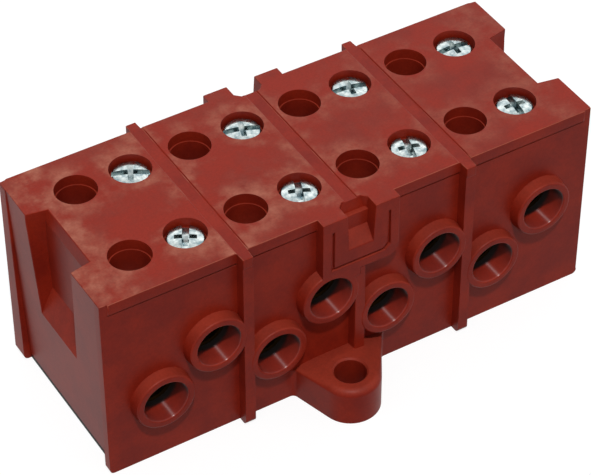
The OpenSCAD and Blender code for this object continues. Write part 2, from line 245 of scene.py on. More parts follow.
@dataclass(frozen=True)
class Finish:
    """A material's name and the values that every finish has."""

    name: str
    colour: str
    roughness: float

    def begin(self) -> tuple[bpy.types.NodeTree, Node, Socket, bpy.types.Material]:
        """Starts the material.

        Returns:
            Its node tree, its Principled node, the place in the object in millimetres, and
            the material itself.
        """
        material = bpy.data.materials.new(self.name)
        material.use_nodes = True
        tree = material.node_tree
        shader = tree.nodes["Principled BSDF"]
        shader.inputs["Base Color"].default_value = linear(self.colour)
        shader.inputs["Roughness"].default_value = self.roughness
        place = add_node(tree, "ShaderNodeTexCoord").outputs["Object"]
        in_mm = add_node(
            tree, "ShaderNodeVectorMath", operation="SCALE", in_0=place, Scale=1000.0
        )
        return tree, shader, in_mm.outputs["Vector"], material


@dataclass(frozen=True)
class PaleDustAndHighlight:
    """Pale dust on a moulding's top, a painted highlight on its long top edges, and paler
    faces that face up below the top.

    The patches lie round the wells and beside the bands between the poles, where the dust
    isn't wiped away, and they thin out towards the right. Lengths are millimetres. A span
    is where a change begins and where it is complete, and for what faces up it is the
    height of the surface's normal.
    """

    well_halo: float = 5.0
    band_halo: float = 4.0
    band_blur: float = 0.1
    streak_mm: float = 3.0
    broken_by_clouds: Span = (0.38, 0.66)
    broken_by_streaks: Span = (0.0, 0.9)
    near_share: float = 0.9
    far_share: float = 0.2
    thinning_x: Span = (-25.0, 35.0)
    thinning: float = 0.6
    flat_up: Span = (0.9, 0.98)
    rounded_up: Span = (0.3, 0.6)
    highlight_width: float = 1.5
    highlight_share: float = 0.45
    top_starts: Span = (-1.5, -0.6)
    upward_span: Span = (0.2, 0.9)

    def share(
        self, tree: bpy.types.NodeTree, place: Socket, clouds: Socket, upward_paler_share: float
    ) -> Socket:
        """Adds the pale dust, the painted highlight and the paler upward faces to a material.

        Args:
            tree: The material's node tree.
            place: The place in the object, in millimetres.
            clouds: The noise that also clouds the moulding's colour.
            upward_paler_share: Share of the pale colour on what faces up below the top.

        Returns:
            Share of the pale colour, for dust, painted highlight and paler upward faces, from
            0 to 1.
        """
        axes = add_node(tree, "ShaderNodeSeparateXYZ", Vector=place)
        normal = add_node(tree, "ShaderNodeNewGeometry").outputs["Normal"]
        facing = add_node(tree, "ShaderNodeSeparateXYZ", Vector=normal)
        streaks = add_node(
            tree,
            "ShaderNodeTexNoise",
            Vector=place,
            Scale=1 / self.streak_mm,
            Detail=3.0,
            Roughness=0.6,
        )
        known = {
            "x": axes.outputs["X"],
            "y": axes.outputs["Y"],
            "z": axes.outputs["Z"],
            "up": facing.outputs["Z"],
            "clouds": clouds,
            "streaks": streaks.outputs["Fac"],
        }
        steps = self._near_steps() + self._dust_steps() + self._edge_steps(upward_paler_share)
        return worked_out(tree, known, steps)["bloom"]

    def _near_steps(self) -> list[Step]:
        """How near a place is to a well or to a band, and whether it is off the bands."""
        pitch = LAYOUT.pitch
        well = LAYOUT.well_radius
        band = (pitch - LAYOUT.band_width) / 2
        outer_poles = (LAYOUT.poles - 1) / 2 * pitch
        return [
            ("out_x", "ABSOLUTE", "x"),
            ("out_y", "ABSOLUTE", "y"),
            ("across", "ADD", "x", LAYOUT.poles * pitch / 2),
            ("in_pole", "FLOORED_MODULO", "across", pitch),
            ("off_middle", "SUBTRACT", "in_pole", pitch / 2),
            ("from_middle", "ABSOLUTE", "off_middle"),
            ("well_x", "SUBTRACT", "from_middle", LAYOUT.entry_spacing / 2),
            ("well_y", "SUBTRACT", "out_y", LAYOUT.row_spacing / 2),
            ("square_x", "POWER", "well_x", 2.0),
            ("square_y", "POWER", "well_y", 2.0),
            ("squares", "ADD", "square_x", "square_y"),
            ("from_well", "SQRT", "squares"),
            ("past_halo", "SMOOTHSTEP", "from_well", well, well + self.well_halo),
            ("by_well", "SUBTRACT", 1.0, "past_halo"),
            ("by_band", "SMOOTHSTEP", "from_middle", band - self.band_halo, band),
            ("near", "MAXIMUM", "by_well", "by_band"),
            ("past_edge", "SMOOTHSTEP", "from_middle", band, band + self.band_blur),
            ("has_band", "LESS_THAN", "out_x", outer_poles),
            ("on_band", "MULTIPLY", "past_edge", "has_band"),
            ("off_band", "SUBTRACT", 1.0, "on_band"),
        ]

    def _dust_steps(self) -> list[Step]:
        """The broken patches, thinner to the right and none on the bands."""
        return [
            ("cloudy", "SMOOTHSTEP", "clouds", *self.broken_by_clouds),
            ("streaky", "SMOOTHSTEP", "streaks", *self.broken_by_streaks),
            ("broken", "MULTIPLY", "cloudy", "streaky"),
            ("more_near", "MULTIPLY", "near", self.near_share),
            ("everywhere", "ADD", "more_near", self.far_share),
            ("patches", "MULTIPLY", "everywhere", "broken"),
            ("rightness", "SMOOTHSTEP", "x", *self.thinning_x),
            ("loss", "MULTIPLY", "rightness", self.thinning),
            ("kept", "SUBTRACT", 1.0, "loss"),
            ("thinned", "MULTIPLY", "patches", "kept"),
            ("dust", "MULTIPLY", "thinned", "off_band"),
        ]

    def _edge_steps(self, upward_paler_share: float) -> list[Step]:
        """The top's dust, the painted highlight on its long edges and the paler upward faces
        below, put together.
        """
        face_y = LAYOUT.face_y
        top = [LAYOUT.top + below for below in self.top_starts]
        return [
            ("flat", "SMOOTHSTEP", "up", *self.flat_up),
            ("not_flat", "SUBTRACT", 1.0, "flat"),
            ("leaning", "SMOOTHSTEP", "up", *self.rounded_up),
            ("rounded", "MULTIPLY", "leaning", "not_flat"),
            # Painted highlight: the rounded long top edges are made paler where the lamp's
            # light catches them.
            ("long_edge", "SMOOTHSTEP", "out_y", face_y - self.highlight_width, face_y),
            ("worn", "MULTIPLY", "rounded", "long_edge"),
            ("worn_pale", "MULTIPLY", "worn", self.highlight_share),
            ("flat_dust", "MULTIPLY", "dust", "flat"),
            ("top_share", "ADD", "flat_dust", "worn_pale"),
            ("on_top", "SMOOTHSTEP", "z", *top),
            ("below_top", "SUBTRACT", 1.0, "on_top"),
            # Below the top, what faces up is made paler.
            ("upward", "SMOOTHSTEP", "up", *self.upward_span),
            ("settling", "MULTIPLY", "upward", upward_paler_share),
            ("lower", "MULTIPLY", "settling", "below_top"),
            ("upper", "MULTIPLY", "top_share", "on_top"),
            ("bloom", "ADD", "upper", "lower"),
        ]


@dataclass(frozen=True)
class MouldedCompound(Finish):
    """Mineral-filled thermoset, compression moulded and coloured with iron oxide.

    The mould leaves a satin skin with cloudy colour, a mineral speckle and a fine grain,
    and a pale dusty bloom lies on its top. A painted highlight pales the rounded long top
    edges, and what faces up below the top is made paler. Where a turned core forms a bore,
    fine rings run round it, and painted shade darkens its inner end and its crown.
    """

    deep: str = "#781c10"
    pale: str = "#ae6b57"
    gloss: float = 0.12
    axial_spread: float = 0.0
    upward_paler_share: float = 0.1
    bloom: PaleDustAndHighlight = PaleDustAndHighlight()
    dusty_roughness: float = 0.2
    painted_shade: str = "#180503"
    painted_shade_y: float = 0.0
    painted_shade_fade: float = 0.5
    painted_shade_up: Span = (-0.25, 0.2)
    cloud_mm: float = 8.0
    cloud_contrast: Span = (0.3, 0.7)
    # The filler is finer than this, and is drawn as coarse as it needs to show.
    speckle_mm: float = 0.45
    speckle_contrast: Span = (0.25, 0.75)
    speckle_swing: float = 0.1
    grain_mm: float = 0.35
    grain_depth: float = 0.03
    grain_strength: float = 0.25

    def build(self) -> bpy.types.Material:
        """Builds the material."""
        tree, shader, place, material = self.begin()
        shader.inputs["Specular IOR Level"].default_value = self.gloss
        clouds, speckle, grain = (
            add_node(
                tree,
                "ShaderNodeTexNoise",
                Vector=place,
                Scale=1 / size,
                Detail=detail,
                Roughness=roughness,
            ).outputs["Fac"]
            for size, detail, roughness in (
                (self.cloud_mm, 4.0, 0.6),
                (self.speckle_mm, 2.0, 0.5),
                (self.grain_mm, 2.0, 0.55),
            )
        )
        bloom = self.bloom.share(tree, place, clouds, self.upward_paler_share)
        body = self._body(tree, place, clouds)
        paled = add_node(
            tree,
            "ShaderNodeMix",
            data_type="RGBA",
            in_0=bloom,
            in_6=body,
            in_7=linear(self.pale),
        )
        speckled = add_node(
            tree,
            "ShaderNodeMapRange",
            Value=speckle,
            From_Min=self.speckle_contrast[0],
            From_Max=self.speckle_contrast[1],
            To_Min=1 - self.speckle_swing,
            To_Max=1 + self.speckle_swing,
        )
        tinted = add_node(
            tree,
            "ShaderNodeHueSaturation",
            Color=paled.outputs[2],
            Value=speckled.outputs["Result"],
        )
        tree.links.new(tinted.outputs["Color"], shader.inputs["Base Color"])
        satin = add_node(
            tree,
            "ShaderNodeMapRange",
            Value=bloom,
            To_Min=self.roughness,
            To_Max=self.roughness + self.dusty_roughness,
        )
        tree.links.new(satin.outputs["Result"], shader.inputs["Roughness"])
        skin = add_node(
            tree,
            "ShaderNodeBump",
            Strength=self.grain_strength,
            Distance=to_m(self.grain_depth),
            Height=grain,
        )
        tree.links.new(skin.outputs["Normal"], shader.inputs["Normal"])
        if self.axial_spread:
            shader.inputs["Anisotropic"].default_value = self.axial_spread
            along_bore = add_node(tree, "ShaderNodeCombineXYZ", Y=1.0)
            tree.links.new(along_bore.outputs["Vector"], shader.inputs["Tangent"])
        return material

    def _body(self, tree: bpy.types.NodeTree, place: Socket, clouds: Socket) -> Socket:
        """Colour of the moulding under the pale dust and highlight, with painted shade in a
        bore.

        Args:
            tree: The material's node tree.
            place: The place in the object, in millimetres.
            clouds: The noise that clouds the colour.

        Returns:
            The colour.
        """
        share = worked_out(
            tree, {"clouds": clouds}, [("deep", "SMOOTHSTEP", "clouds", *self.cloud_contrast)]
        )
        body = add_node(
            tree,
            "ShaderNodeMix",
            data_type="RGBA",
            in_0=share["deep"],
            in_6=linear(self.colour),
            in_7=linear(self.deep),
        )
        if not self.painted_shade_y:
            return body.outputs[2]
        # Painted shade: deep in a bore, and on its crown, the colour turns near black, where
        # the lamp's light doesn't reach.
        axes = add_node(tree, "ShaderNodeSeparateXYZ", Vector=place)
        normal = add_node(tree, "ShaderNodeNewGeometry").outputs["Normal"]
        facing = add_node(tree, "ShaderNodeSeparateXYZ", Vector=normal)
        starts, ends = self.painted_shade_y - self.painted_shade_fade, self.painted_shade_y + self.painted_shade_fade
        share = worked_out(
            tree,
            {"y": axes.outputs["Y"], "up": facing.outputs["Z"]},
            [
                ("out_y", "ABSOLUTE", "y"),
                ("outer", "SMOOTHSTEP", "out_y", starts, ends),
                ("not_crown", "SMOOTHSTEP", "up", *self.painted_shade_up),
                ("clean", "MULTIPLY", "outer", "not_crown"),
            ],
        )
        painted_shaded = add_node(
            tree,
            "ShaderNodeMix",
            data_type="RGBA",
            in_0=share["clean"],
            in_6=linear(self.painted_shade),
            in_7=body.outputs[2],
        )
        return painted_shaded.outputs[2]


@dataclass(frozen=True)
class ZincPlatedSteel(Finish):
    """Cold-headed steel with bright zinc plating and a blue passivation.

    The plating is nearly mirror bright, with a faint cloudy blue and small dull spots.
    """

    tint: str = "#75898f"
    cloud_mm: float = 1.3
    tint_contrast: Span = (0.35, 0.65)
    dull_contrast: Span = (0.3, 0.7)
    dull_swing: Span = (-0.05, 0.1)

    def build(self) -> bpy.types.Material:
        """Builds the material."""
        tree, shader, place, material = self.begin()
        shader.inputs["Metallic"].default_value = 1.0
        clouds = add_node(
            tree, "ShaderNodeTexNoise", Vector=place, Scale=1 / self.cloud_mm, Detail=3.0
        )
        share = add_node(
            tree,
            "ShaderNodeMapRange",
            Value=clouds.outputs["Fac"],
            From_Min=self.tint_contrast[0],
            From_Max=self.tint_contrast[1],
        )
        colour = add_node(
            tree,
            "ShaderNodeMix",
            data_type="RGBA",
            in_0=share.outputs["Result"],
            in_6=linear(self.colour),
            in_7=linear(self.tint),
        )
        tree.links.new(colour.outputs[2], shader.inputs["Base Color"])
        dull = add_node(
            tree,
            "ShaderNodeMapRange",
            Value=clouds.outputs["Fac"],
            From_Min=self.dull_contrast[0],
            From_Max=self.dull_contrast[1],
            To_Min=self.roughness + self.dull_swing[0],
            To_Max=self.roughness + self.dull_swing[1],
        )
        tree.links.new(dull.outputs["Result"], shader.inputs["Roughness"])
        return material


@dataclass(frozen=True)
class DrilledBrass(Finish):
    """Free-cutting brass bar, sawn, drilled and tapped, with a dull tarnish and painted
    shade.

    Fine tool marks run round the bores. The colour is dark and darkens to near black in
    cloudy patches, partly tarnish and partly painted shade, so that the blocks read black
    deep in the bores.
    """

    tarnish_and_shade: str = "#171007"
    cloud_mm: float = 5.0
    # The drill's marks are finer than this, and are drawn as coarse as they need to show.
    mark_mm: float = 1.571
    mark_depth: float = 0.01
    mark_strength: float = 0.2

    def build(self) -> bpy.types.Material:
        """Builds the material."""
        tree, shader, place, material = self.begin()
        shader.inputs["Metallic"].default_value = 1.0
        clouds = add_node(
            tree, "ShaderNodeTexNoise", Vector=place, Scale=1 / self.cloud_mm, Detail=4.0
        )
        # Painted shade in part: the cloudy dark colour stands for tarnish and for the shade
        # deep in the bores.
        colour = add_node(
            tree,
            "ShaderNodeMix",
            data_type="RGBA",
            in_0=clouds.outputs["Fac"],
            in_6=linear(self.colour),
            in_7=linear(self.tarnish_and_shade),
        )
        tree.links.new(colour.outputs[2], shader.inputs["Base Color"])
        marks = add_node(
            tree,
            "ShaderNodeTexWave",
            bands_direction="Y",
            Vector=place,
            Scale=2 * math.pi / (WAVE_RATE * self.mark_mm),
            Distortion=1.0,
        )
        skin = add_node(
            tree,
            "ShaderNodeBump",
            Strength=self.mark_strength,
            Distance=to_m(self.mark_depth),
            Height=marks.outputs["Fac"],
        )
        tree.links.new(skin.outputs["Normal"], shader.inputs["Normal"])
        return material


@dataclass(frozen=True)
class TurnedSteel(Finish):
    """Plain steel, turned on a lathe and not plated: grey, with small duller spots."""

    spot_mm: float = 0.2
    spot_contrast: Span = (0.3, 0.7)
    spot_swing: Span = (-0.08, 0.12)

    def build(self) -> bpy.types.Material:
        """Builds the material."""
        tree, shader, place, material = self.begin()
        shader.inputs["Metallic"].default_value = 1.0
        noise = add_node(
            tree, "ShaderNodeTexNoise", Vector=place, Scale=1 / self.spot_mm, Detail=2.0
        )
        worn = add_node(
            tree,
            "ShaderNodeMapRange",
            Value=noise.outputs["Fac"],
            From_Min=self.spot_contrast[0],
            From_Max=self.spot_contrast[1],
            To_Min=self.roughness + self.spot_swing[0],
            To_Max=self.roughness + self.spot_swing[1],
        )
        tree.links.new(worn.outputs["Result"], shader.inputs["Roughness"])
        return material


@dataclass(frozen=True)
class BlackMoulding(Finish):
    """Black nylon, injection moulded: a matt skin with a faint orange peel."""

    worn: str = "#1f1d1d"
    gloss: float = 0.1
    peel_mm: float = 0.8
    peel_depth: float = 0.02
    peel_strength: float = 0.3

    def build(self) -> bpy.types.Material:
        """Builds the material."""
        tree, shader, place, material = self.begin()
        shader.inputs["Specular IOR Level"].default_value = self.gloss
        peel = add_node(
            tree, "ShaderNodeTexNoise", Vector=place, Scale=1 / self.peel_mm, Detail=3.0
        )
        colour = add_node(
            tree,
            "ShaderNodeMix",
            data_type="RGBA",
            in_0=peel.outputs["Fac"],
            in_6=linear(self.colour),
            in_7=linear(self.worn),
        )
        tree.links.new(colour.outputs[2], shader.inputs["Base Color"])
        skin = add_node(
            tree,
            "ShaderNodeBump",
            Strength=self.peel_strength,
            Distance=to_m(self.peel_depth),
            Height=peel.outputs["Fac"],
        )
        tree.links.new(skin.outputs["Normal"], shader.inputs["Normal"])
        return material


# ---------------------------------------------------------------- the strip's pieces


@dataclass
class HousingShell:
    """The red moulding, with its outer edges softened.

    Lengths are millimetres, and flat_area is square millimetres.
    """

    edge_radius: float = 0.22
    edge_steps: int = 2
    sharp_deg: float = 35.0
    shortest_edge: float = 0.7
    foot_height: float = 2.0
    join_distance: float = 0.004
    flat_deg: float = 0.6
    flat_area: float = 12.0
    flat_crease_deg: float = 3.0
    bore_rim: float = 0.13
    finish: Finish = field(
        default_factory=lambda: MouldedCompound(
            "moulded_thermoset_red", "#8b2413", 0.42
        )
    )
    # The bore finish paints shade, near black, deep in each bore and on its crown.
    bore_finish: Finish = field(
        default_factory=lambda: MouldedCompound(
            "core_turned_thermoset_red",
            "#8b2413",
            0.36,
            gloss=0.55,
            axial_spread=1.0,
            upward_paler_share=0.0,
            painted_shade_y=18.0,
            grain_strength=0.05,
        )
    )

    def build(self, solid: bpy.types.Object) -> bpy.types.Object:
        """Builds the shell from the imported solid.

        Args:
            solid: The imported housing, which stays as it is.

        Returns:
            The shell, which stands for the solid.
        """
        shape = self._plain_copy(solid.data)
        edges = self._outer_edges(shape)
        bmesh.ops.bevel(
            shape,
            geom=edges,
            offset=to_m(self.edge_radius),
            offset_type="OFFSET",
            segments=self.edge_steps,
            profile=0.5,
            affect="EDGES",
            clamp_overlap=False,
        )
        in_bores = self._mark_bores(shape)
        mesh = mesh_from("housing_shell", shape)
        smooth_shaded(mesh, self.sharp_deg)
        self._crease_flats(mesh)
        mesh.materials.append(self.finish.build())
        mesh.materials.append(self.bore_finish.build())
        shell = mesh_object("housing_shell", mesh)
        weighted = shell.modifiers.new("even_faces", "WEIGHTED_NORMAL")
        weighted.keep_sharp = True
        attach(shell, "root")
        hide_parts("housing")
        log.info(
            "housing shell: %d faces, %d of them in bores, %d soft edges",
            len(mesh.polygons),
            in_bores,
            len(edges),
        )
        return shell

    def _crease_flats(self, mesh: bpy.types.Mesh) -> None:
        """Keeps a crease where two broad flats meet, however shallow the angle."""
        broad: dict[tuple[int, int], list[Vector]] = {}
        for face in mesh.polygons:
            if face.area > to_m(to_m(self.flat_area)):
                for key in face.edge_keys:
                    broad.setdefault(key, []).append(face.normal.copy())
        crease = math.radians(self.flat_crease_deg)
        for edge in mesh.edges:
            normals = broad.get(edge.key, [])
            if len(normals) == 2 and normals[0].angle(normals[1]) > crease:
                edge.use_edge_sharp = True

    def _mark_bores(self, shape: bmesh.types.BMesh) -> int:
        """Gives the faces of the wire entries' bores the second finish.

        The cores that form the bores are turned, so fine rings run round each bore and
        draw the lamp's highlight out into a line along it.

        Args:
            shape: The shell's faces.

        Returns:
            How many faces lie in a bore.
        """
        reach = to_m(LAYOUT.entry_bore_radius + self.bore_rim)
        axes = [(to_m(x), to_m(z)) for x, z in LAYOUT.entries()]
        marked = 0
        for face in shape.faces:
            corners = [vertex.co for vertex in face.verts]
            if any(
                all(math.hypot(corner.x - x, corner.z - z) < reach for corner in corners)
                for x, z in axes
            ):
                face.material_index = 1
                marked += 1
        return marked

    def _plain_copy(self, source: bpy.types.Mesh) -> bmesh.types.BMesh:
        """Copies the faces alone, joins their corners and dissolves what is flat."""
        plain = bpy.data.meshes.new("housing_faces")
        plain.from_pydata(
            [vertex.co for vertex in source.vertices],
            [],
            [tuple(face.vertices) for face in source.polygons],
        )
        shape = bmesh.new()
        shape.from_mesh(plain)
        bpy.data.meshes.remove(plain)
        join = to_m(self.join_distance)
        bmesh.ops.remove_doubles(shape, verts=shape.verts, dist=join)
        bmesh.ops.dissolve_limit(
            shape,
            angle_limit=math.radians(self.flat_deg),
            verts=shape.verts,
            edges=shape.edges,
        )
        return shape

    def _outer_edges(self, shape: bmesh.types.BMesh) -> list[bmesh.types.BMEdge]:
        """Convex edges that are sharp and long enough to take a radius.

        The edges round the foot stay sharp, because a radius on them would fold over
        itself where the end faces meet their side strips.
        """
        sharp = math.radians(self.sharp_deg)
        foot = to_m(self.foot_height)
        return [
            edge
            for edge in shape.edges
            if len(edge.link_faces) == 2
            and edge.calc_face_angle_signed(0.0) > sharp
            and edge.calc_length() > to_m(self.shortest_edge)
            and max(vertex.co.z for vertex in edge.verts) > foot
        ]


@dataclass
class ClampingScrew:
    """Cheese-head screw with a slot, a cross recess, a rolled thread and a blind tip bore."""

    head_d: float = 7.5
    head_height: float = 3.2
    head_lift: float = 1.4
    seat_bevel: float = 0.12
    crown: float = 0.35
    crown_edge: float = 0.45
    crown_steps: int = 5
    thread_d: float = 5.9
    thread_depth: float = 0.55
    thread_pitch: float = 1.0
    thread_lead: float = 0.2
    thread_gap: float = 0.5
    rows_per_turn: int = 8
    shank_length: float = 8.65
    tip_bevel: float = 0.45
    bore_d: float = 2.5
    bore_depth: float = 2.5
    slot_width: float = 1.35
    slot_depth: float = 1.25
    slot_draft: float = 0.06
    cross_reach: float = 2.45
    cross_width: float = 1.15
    cross_depth: float = 2.1
    cross_tip_reach: float = 0.75
    cross_tip_share: float = 0.7
    over_slot: float = 1.0
    over_cross: float = 0.3
    crease_deg: float = 32.0
    sides: int = 48
    finish: Finish = field(
        default_factory=lambda: ZincPlatedSteel("bright_zinc_plate", "#c9d1cf", 0.2)
    )

    def build_mesh(self) -> bpy.types.Mesh:
        """Builds one screw with the middle of its head's top at the origin."""
        body = mesh_object("screw_body", self._turned_body())
        for cutter in (self._slot(), self._wedge(0.0), self._wedge(90.0)):
            cut = body.modifiers.new("recess", "BOOLEAN")
            cut.operation = "DIFFERENCE"
            cut.solver = "EXACT"
            cut.object = mesh_object("recess_cutter", cutter)
        mesh = applied(body)
        mesh.name = "clamping_screw"
        for modifier in list(body.modifiers):
            bpy.data.objects.remove(modifier.object)
        bpy.data.objects.remove(body)
        smooth_shaded(mesh, self.crease_deg)
        mesh.materials.clear()
        mesh.materials.append(self.finish.build())
        return mesh

    def place(
        self, mesh: bpy.types.Mesh, pole: int, row: Row, level: Level, turn_deg: float
    ) -> bpy.types.Object:
        """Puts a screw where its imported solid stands.

        Args:
            mesh: The screw that all of them share.
            pole: Number of the pole, from 1.
            row: Front or back row.
            level: Low or high step of the block.
            turn_deg: Direction of the slot, from +X towards +Y.

        Returns:
            The placed screw.
        """
        label = f"{pole}_{row.label}_{level.label}"
        low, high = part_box(f"screw_{label}")
        top = high.z + to_m(self.head_lift)
        centre = Vector(((low.x + high.x) / 2, (low.y + high.y) / 2, top))
        screw = mesh_object(f"clamping_screw_{label}", mesh)
        screw.matrix_world = Matrix.Translation(centre) @ Matrix.Rotation(
            math.radians(turn_deg), 4, "Z"
        )
        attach(screw, f"screw_{label}")
        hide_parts(f"screw_{label}")
        return screw

    def _turned_body(self) -> bpy.types.Mesh:
        """Body of revolution from the tip bore to the crown, with a helical thread."""
        seat = -self.head_height
        tip = seat - self.shank_length - self.head_lift
        bore = self.bore_d / 2
        rim = self.head_d / 2
        thread = self.thread_d / 2
        rows: list[tuple[float, float, bool]] = [
            (bore, tip + self.bore_depth, False),
            (bore, tip, False),
            (thread - self.tip_bevel - self.thread_depth, tip, False),
        ]
        threaded = self.shank_length + self.head_lift - self.thread_gap
        rise = self.thread_pitch / self.rows_per_turn
        for step in range(round(threaded / rise) + 1):
            rows.append((thread, tip + self.thread_lead + step * rise, True))
        rows += [
            (thread - self.thread_depth, seat, False),
            (rim - self.seat_bevel, seat, False),
            (rim, seat + self.seat_bevel, False),
        ]
        edge_z = -self.crown - self.crown_edge
        shares = [step / self.crown_steps for step in range(self.crown_steps)]
        for share in shares:
            angle = math.pi / 2 * share
            radius = rim - self.crown_edge * (1 - math.cos(angle))
            rows.append((radius, edge_z + self.crown_edge * math.sin(angle), False))
        flat = rim - self.crown_edge
        for share in shares:
            rows.append((flat * (1 - share), -self.crown * (1 - share) ** 2, False))
        return self._revolved(rows, tip)

    def _revolved(
        self, rows: list[tuple[float, float, bool]], tip: float
    ) -> bpy.types.Mesh:
        """Spins rows of radius and height into a closed mesh.

        Args:
            rows: Radius, height and whether the row is part of the thread.
            tip: Height of the screw's tip.

        Returns:
            The mesh, closed at the bore's end and at the crown.
        """
        shape = bmesh.new()
        rings = []
        for radius, height, threaded in rows:
            ring = []
            for side in range(self.sides):
                share = side / self.sides
                reach = radius
                if threaded:
                    phase = ((height - tip) / self.thread_pitch - share) % 1
                    depth = self.thread_depth * abs(2 * phase - 1)
                    runout = min(1.0, (height - tip) / (2 * self.tip_bevel))
                    reach = radius - depth - (1 - runout) * self.tip_bevel
                angle = 2 * math.pi * share
                corner = (reach * math.cos(angle), reach * math.sin(angle), height)
                ring.append(shape.verts.new([to_m(value) for value in corner]))
            rings.append(ring)
        for lower, upper in zip(rings, rings[1:]):
            for side in range(self.sides):
                after = (side + 1) % self.sides
                shape.faces.new((lower[side], lower[after], upper[after], upper[side]))
        for ring, height in ((rings[0], rows[0][1]), (rings[-1], 0.0)):
            middle = shape.verts.new((0.0, 0.0, to_m(height)))
            for side in range(self.sides):
                shape.faces.new((ring[side], ring[(side + 1) % self.sides], middle))
        bmesh.ops.recalc_face_normals(shape, faces=shape.faces)
        return mesh_from("screw_body", shape)

    def _slot(self) -> bpy.types.Mesh:
        """Cutter of the slot, right across the head."""
        half = self.slot_width / 2
        floor = (-self.slot_depth, 1 - self.slot_draft)
        mouth = (self.over_slot, 1 + self.slot_draft)
        return self._solid(
            "slot",
            [
                (x, y * grow, z)
                for x in (-self.head_d, self.head_d)
                for y in (-half, half)
                for z, grow in (floor, mouth)
            ],
        )

    def _wedge(self, turn_deg: float) -> bpy.types.Mesh:
        """Cutter of one pair of wings of the cross recess, which narrows as it goes down."""
        half = self.cross_width / 2
        tip = (-self.cross_depth, self.cross_tip_reach, self.cross_tip_share)
        mouth = (self.over_cross, self.cross_reach, 1.0)
        wedge = self._solid(
            "wedge",
            [
                (x * reach, y * grow, z)
                for x in (-1, 1)
                for y in (-half, half)
                for z, reach, grow in (tip, mouth)
            ],
        )
        wedge.transform(Matrix.Rotation(math.radians(turn_deg), 4, "Z"))
        return wedge

    @staticmethod
    def _solid(name: str, corners: list[Point]) -> bpy.types.Mesh:
        """Convex solid round a set of corners."""
        shape = bmesh.new()
        for corner in corners:
            shape.verts.new([to_m(value) for value in corner])
        bmesh.ops.convex_hull(shape, input=shape.verts)
        return mesh_from(name, shape)


@dataclass
class ScrewSet:
    """All sixteen screws, each left at its own turn."""

    screw: ClampingScrew = field(default_factory=ClampingScrew)
    first_turn: float = 12.5
    turn_step: float = 47.0

    def build(self) -> list[bpy.types.Object]:
        """Builds every screw and returns them."""
        mesh = self.screw.build_mesh()
        placed = []
        for pole in range(1, LAYOUT.poles + 1):
            for row in Row:
                for level in Level:
                    turn = self.first_turn + self.turn_step * len(placed)
                    placed.append(self.screw.place(mesh, pole, row, level, turn))
        log.info("screws: %d of %d faces", len(placed), len(mesh.polygons))
        return placed


@dataclass
class CarriedSolids:
    """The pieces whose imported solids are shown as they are: base, blocks and feet."""

    # Painted shade in part: the black base plate shows as a thin dark line at the foot of
    # each end face, where shade also falls.
    base: Finish = field(
        default_factory=lambda: BlackMoulding("black_nylon_moulding", "#121111", 0.55)
    )
    # The brass's dark colour is partly painted shade, so that the blocks read black deep in
    # the bores.
    block: Finish = field(
        default_factory=lambda: DrilledBrass("drilled_brass_bar", "#5c451c", 0.5)
    )
    foot: Finish = field(
        default_factory=lambda: TurnedSteel("turned_steel", "#8f9499", 0.35)
    )

    def dress(self, nodes: dict[str, bpy.types.Object]) -> None:
        """Gives each carried node its finish.

        Args:
            nodes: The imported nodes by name.
        """
        for prefix, finish in (
            ("base", self.base),
            ("terminal_block", self.block),
            ("foot", self.foot),
        ):
            material = finish.build()
            named = [node for name, node in nodes.items() if name.startswith(prefix)]
            for node in named:
                node.data.materials.clear()
                node.data.materials.append(material)
            log.info("%s: %d pieces in %s", prefix, len(named), finish.name)


# ---------------------------------------------------------------- studio


